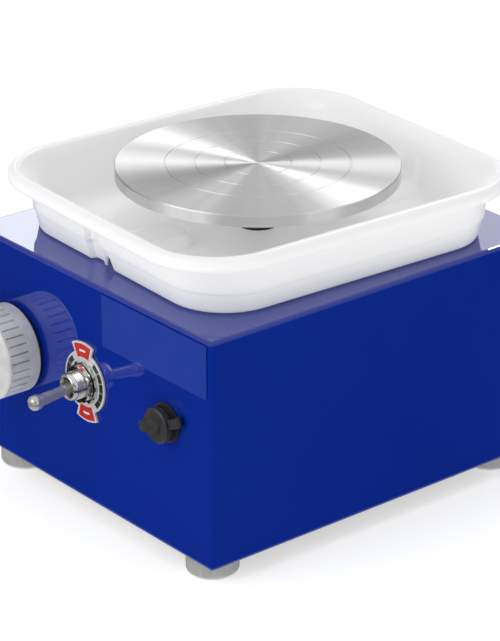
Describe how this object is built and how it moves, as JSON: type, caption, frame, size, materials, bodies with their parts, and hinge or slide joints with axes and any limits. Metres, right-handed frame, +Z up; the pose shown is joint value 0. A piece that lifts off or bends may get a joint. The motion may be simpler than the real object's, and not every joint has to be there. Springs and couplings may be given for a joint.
{
  "type": "pottery wheel",
  "caption": "Small table-top pottery wheel: a steel box on round feet, a turned wheel head over a white splash basin, a speed knob, a toggle switch and a capped power inlet.",
  "frame": {"origin": "centre of the bounding box's bottom, on the surface the feet stand on", "axes": "+X to the right seen from the front, +Y to the back, +Z up; the controls face -Y; the spindle's axis is parallel to Z at x = 0, y = 13.95 mm"},
  "size_m": [0.1622, 0.2098, 0.1383],
  "materials": {
    "blue_paint": "gloss",
    "white_plastic": "gloss",
    "turned_aluminium": "turned, fine rings",
    "plated_steel": "bright plated",
    "chrome": "polished",
    "steel": "plain",
    "black_plastic": "matte",
    "black_rubber": "matte",
    "board_green": "satin",
    "label_blue": "satin film"
  },
  "bodies": {
    "chassis": {"housing": "blue_paint", "base_plate": "steel", "base_screw_rear_left": "plated_steel", "base_screw_front_left": "plated_steel", "base_screw_rear_right": "plated_steel", "base_screw_front_right": "plated_steel", "foot_front_left": "plated_steel", "foot_front_right": "plated_steel", "foot_rear_left": "plated_steel", "foot_rear_right": "plated_steel", "foot_pad_front_left": "black_rubber", "foot_pad_front_right": "black_rubber", "foot_pad_rear_left": "black_rubber", "foot_pad_rear_right": "black_rubber", "bearing_holder": "steel", "bearing_nut_1": "plated_steel", "bearing_nut_2": "plated_steel", "bearing_nut_3": "plated_steel", "upper_bearing_outer_ring": "chrome", "lower_bearing_outer_ring": "chrome", "spindle_seal": "black_rubber", "motor_bracket": "steel", "motor": "steel", "motor_screw_left": "plated_steel", "motor_screw_right": "plated_steel", "drive_belt": "black_rubber", "board_bracket": "steel", "control_board": "board_green", "heat_sink": "turned_aluminium", "power_lead": "black_plastic", "switch_lead": "black_plastic", "motor_lead": "black_plastic", "speed_control_body": "steel", "speed_control_nut": "plated_steel", "knob_washer": "black_plastic", "switch_body": "black_plastic", "switch_bushing": "plated_steel", "switch_plate": "turned_aluminium", "switch_washer": "plated_steel", "switch_nut": "plated_steel", "power_socket": "black_plastic", "power_socket_nut": "plated_steel", "cap_strap": "black_rubber", "front_label": "label_blue"},
    "spindle_group": {"spindle": "steel", "spindle_circlip": "steel", "spindle_pulley": "turned_aluminium", "upper_bearing_inner_ring": "chrome", "lower_bearing_inner_ring": "chrome"},
    "wheel": {"wheel_head": "turned_aluminium"},
    "motor_rotor": {"motor_shaft": "chrome", "motor_pulley": "turned_aluminium"},
    "knob": {"speed_knob": "turned_aluminium", "knob_grub_screw": "steel", "speed_control_shaft": "chrome"},
    "lever": {"switch_lever": "chrome"},
    "cap": {"dust_cap": "black_rubber"},
    "basin_tray": {"basin": "white_plastic"}
  },
  "joints": [
    {"name": "spindle_spin", "type": "hinge", "parent": "chassis", "child": "spindle_group", "pos_m": [0, 0.01395, 0.09], "axis": [0, 0, 1], "continuous": true},
    {"name": "wheel_head_lift_off", "type": "slide", "parent": "spindle_group", "child": "wheel", "axis": [0, 0, 1], "range_m": [0, 0.04]},
    {"name": "motor_spin", "type": "hinge", "parent": "chassis", "child": "motor_rotor", "pos_m": [0, 0.06995, 0.06], "axis": [0, 0, 1], "continuous": true},
    {"name": "speed_knob_turn", "type": "hinge", "parent": "chassis", "child": "knob", "pos_m": [-0.0496, -0.07605, 0.0634], "axis": [0, 1, 0], "range_deg": [0, 300]},
    {"name": "switch_lever_tilt", "type": "hinge", "parent": "chassis", "child": "lever", "pos_m": [-0.0012, -0.08125, 0.064], "axis": [-1, 0, 0], "range_deg": [-6.5, 17.5]},
    {"name": "dust_cap_pull_off", "type": "slide", "parent": "chassis", "child": "cap", "axis": [0, -1, 0], "range_m": [0, 0.02]},
    {"name": "basin_lift", "type": "slide", "parent": "chassis", "child": "basin_tray", "axis": [0, 0, 1], "range_m": [0, 0.009]}
  ],
  "couplings": [
    {"joint": "motor_spin", "follows": "spindle_spin", "ratio": 3.4556}
  ]
}
